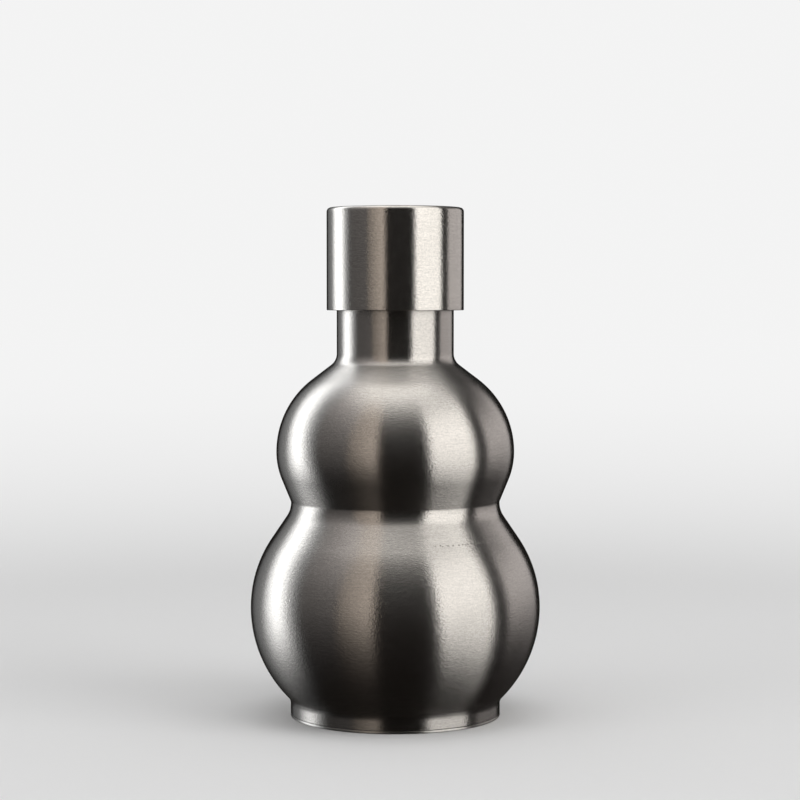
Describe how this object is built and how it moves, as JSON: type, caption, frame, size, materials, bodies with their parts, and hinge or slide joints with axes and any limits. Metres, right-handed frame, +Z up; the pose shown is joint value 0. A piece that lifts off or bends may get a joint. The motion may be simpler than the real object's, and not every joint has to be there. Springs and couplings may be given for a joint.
{
  "type": "gourd water bottle",
  "caption": "Gourd-shaped vacuum water bottle in brushed steel: a small round bulb on a larger one, a short neck and a plain cylindrical screw cap.",
  "frame": {"origin": "centre of the foot ring, on the surface that the bottle stands on", "axes": "+Z up along the bottle's axis, from the foot to the cap; X and Y are alike, because the bottle is round"},
  "size_m": [0.0855, 0.0854, 0.15],
  "materials": {
    "shell_steel": "brushed round the axis, fine grain",
    "cap_steel": "brushed round the axis, fine grain",
    "base_steel": "satin, spun",
    "liner_steel": "electropolished",
    "cap_plastic": "moulded polypropylene, fine matt",
    "silicone": "food silicone, soft matt",
    "foam": "rigid foam",
    "solder_glass": "fused glass solder",
    "getter_metal": "sintered"
  },
  "bodies": {
    "bottle": {"upper_shell": "shell_steel", "lower_shell": "shell_steel", "liner_upper": "liner_steel", "liner_lower": "liner_steel", "outer_bottom": "base_steel", "solder_seal": "solder_glass", "base_cover": "base_steel", "getter": "getter_metal", "getter_clip": "base_steel"},
    "seal_ring": {"gasket": "silicone"},
    "cap": {"cap_shell": "cap_steel", "cap_sleeve": "cap_plastic", "inner_lid": "cap_plastic", "cap_foam": "foam"}
  },
  "joints": [
    {"name": "cap_rise", "type": "slide", "parent": "bottle", "child": "seal_ring", "axis": [0, 0, 1], "range_m": [0, 0.024]},
    {"name": "cap_turn", "type": "hinge", "parent": "seal_ring", "child": "cap", "pos_m": [0, 0, 0.137], "axis": [0, 0, 1], "range_deg": [0, 1080]}
  ],
  "couplings": [
    {"joint": "cap_rise", "follows": "cap_turn", "m_per_rad": 0.0012732}
  ]
}
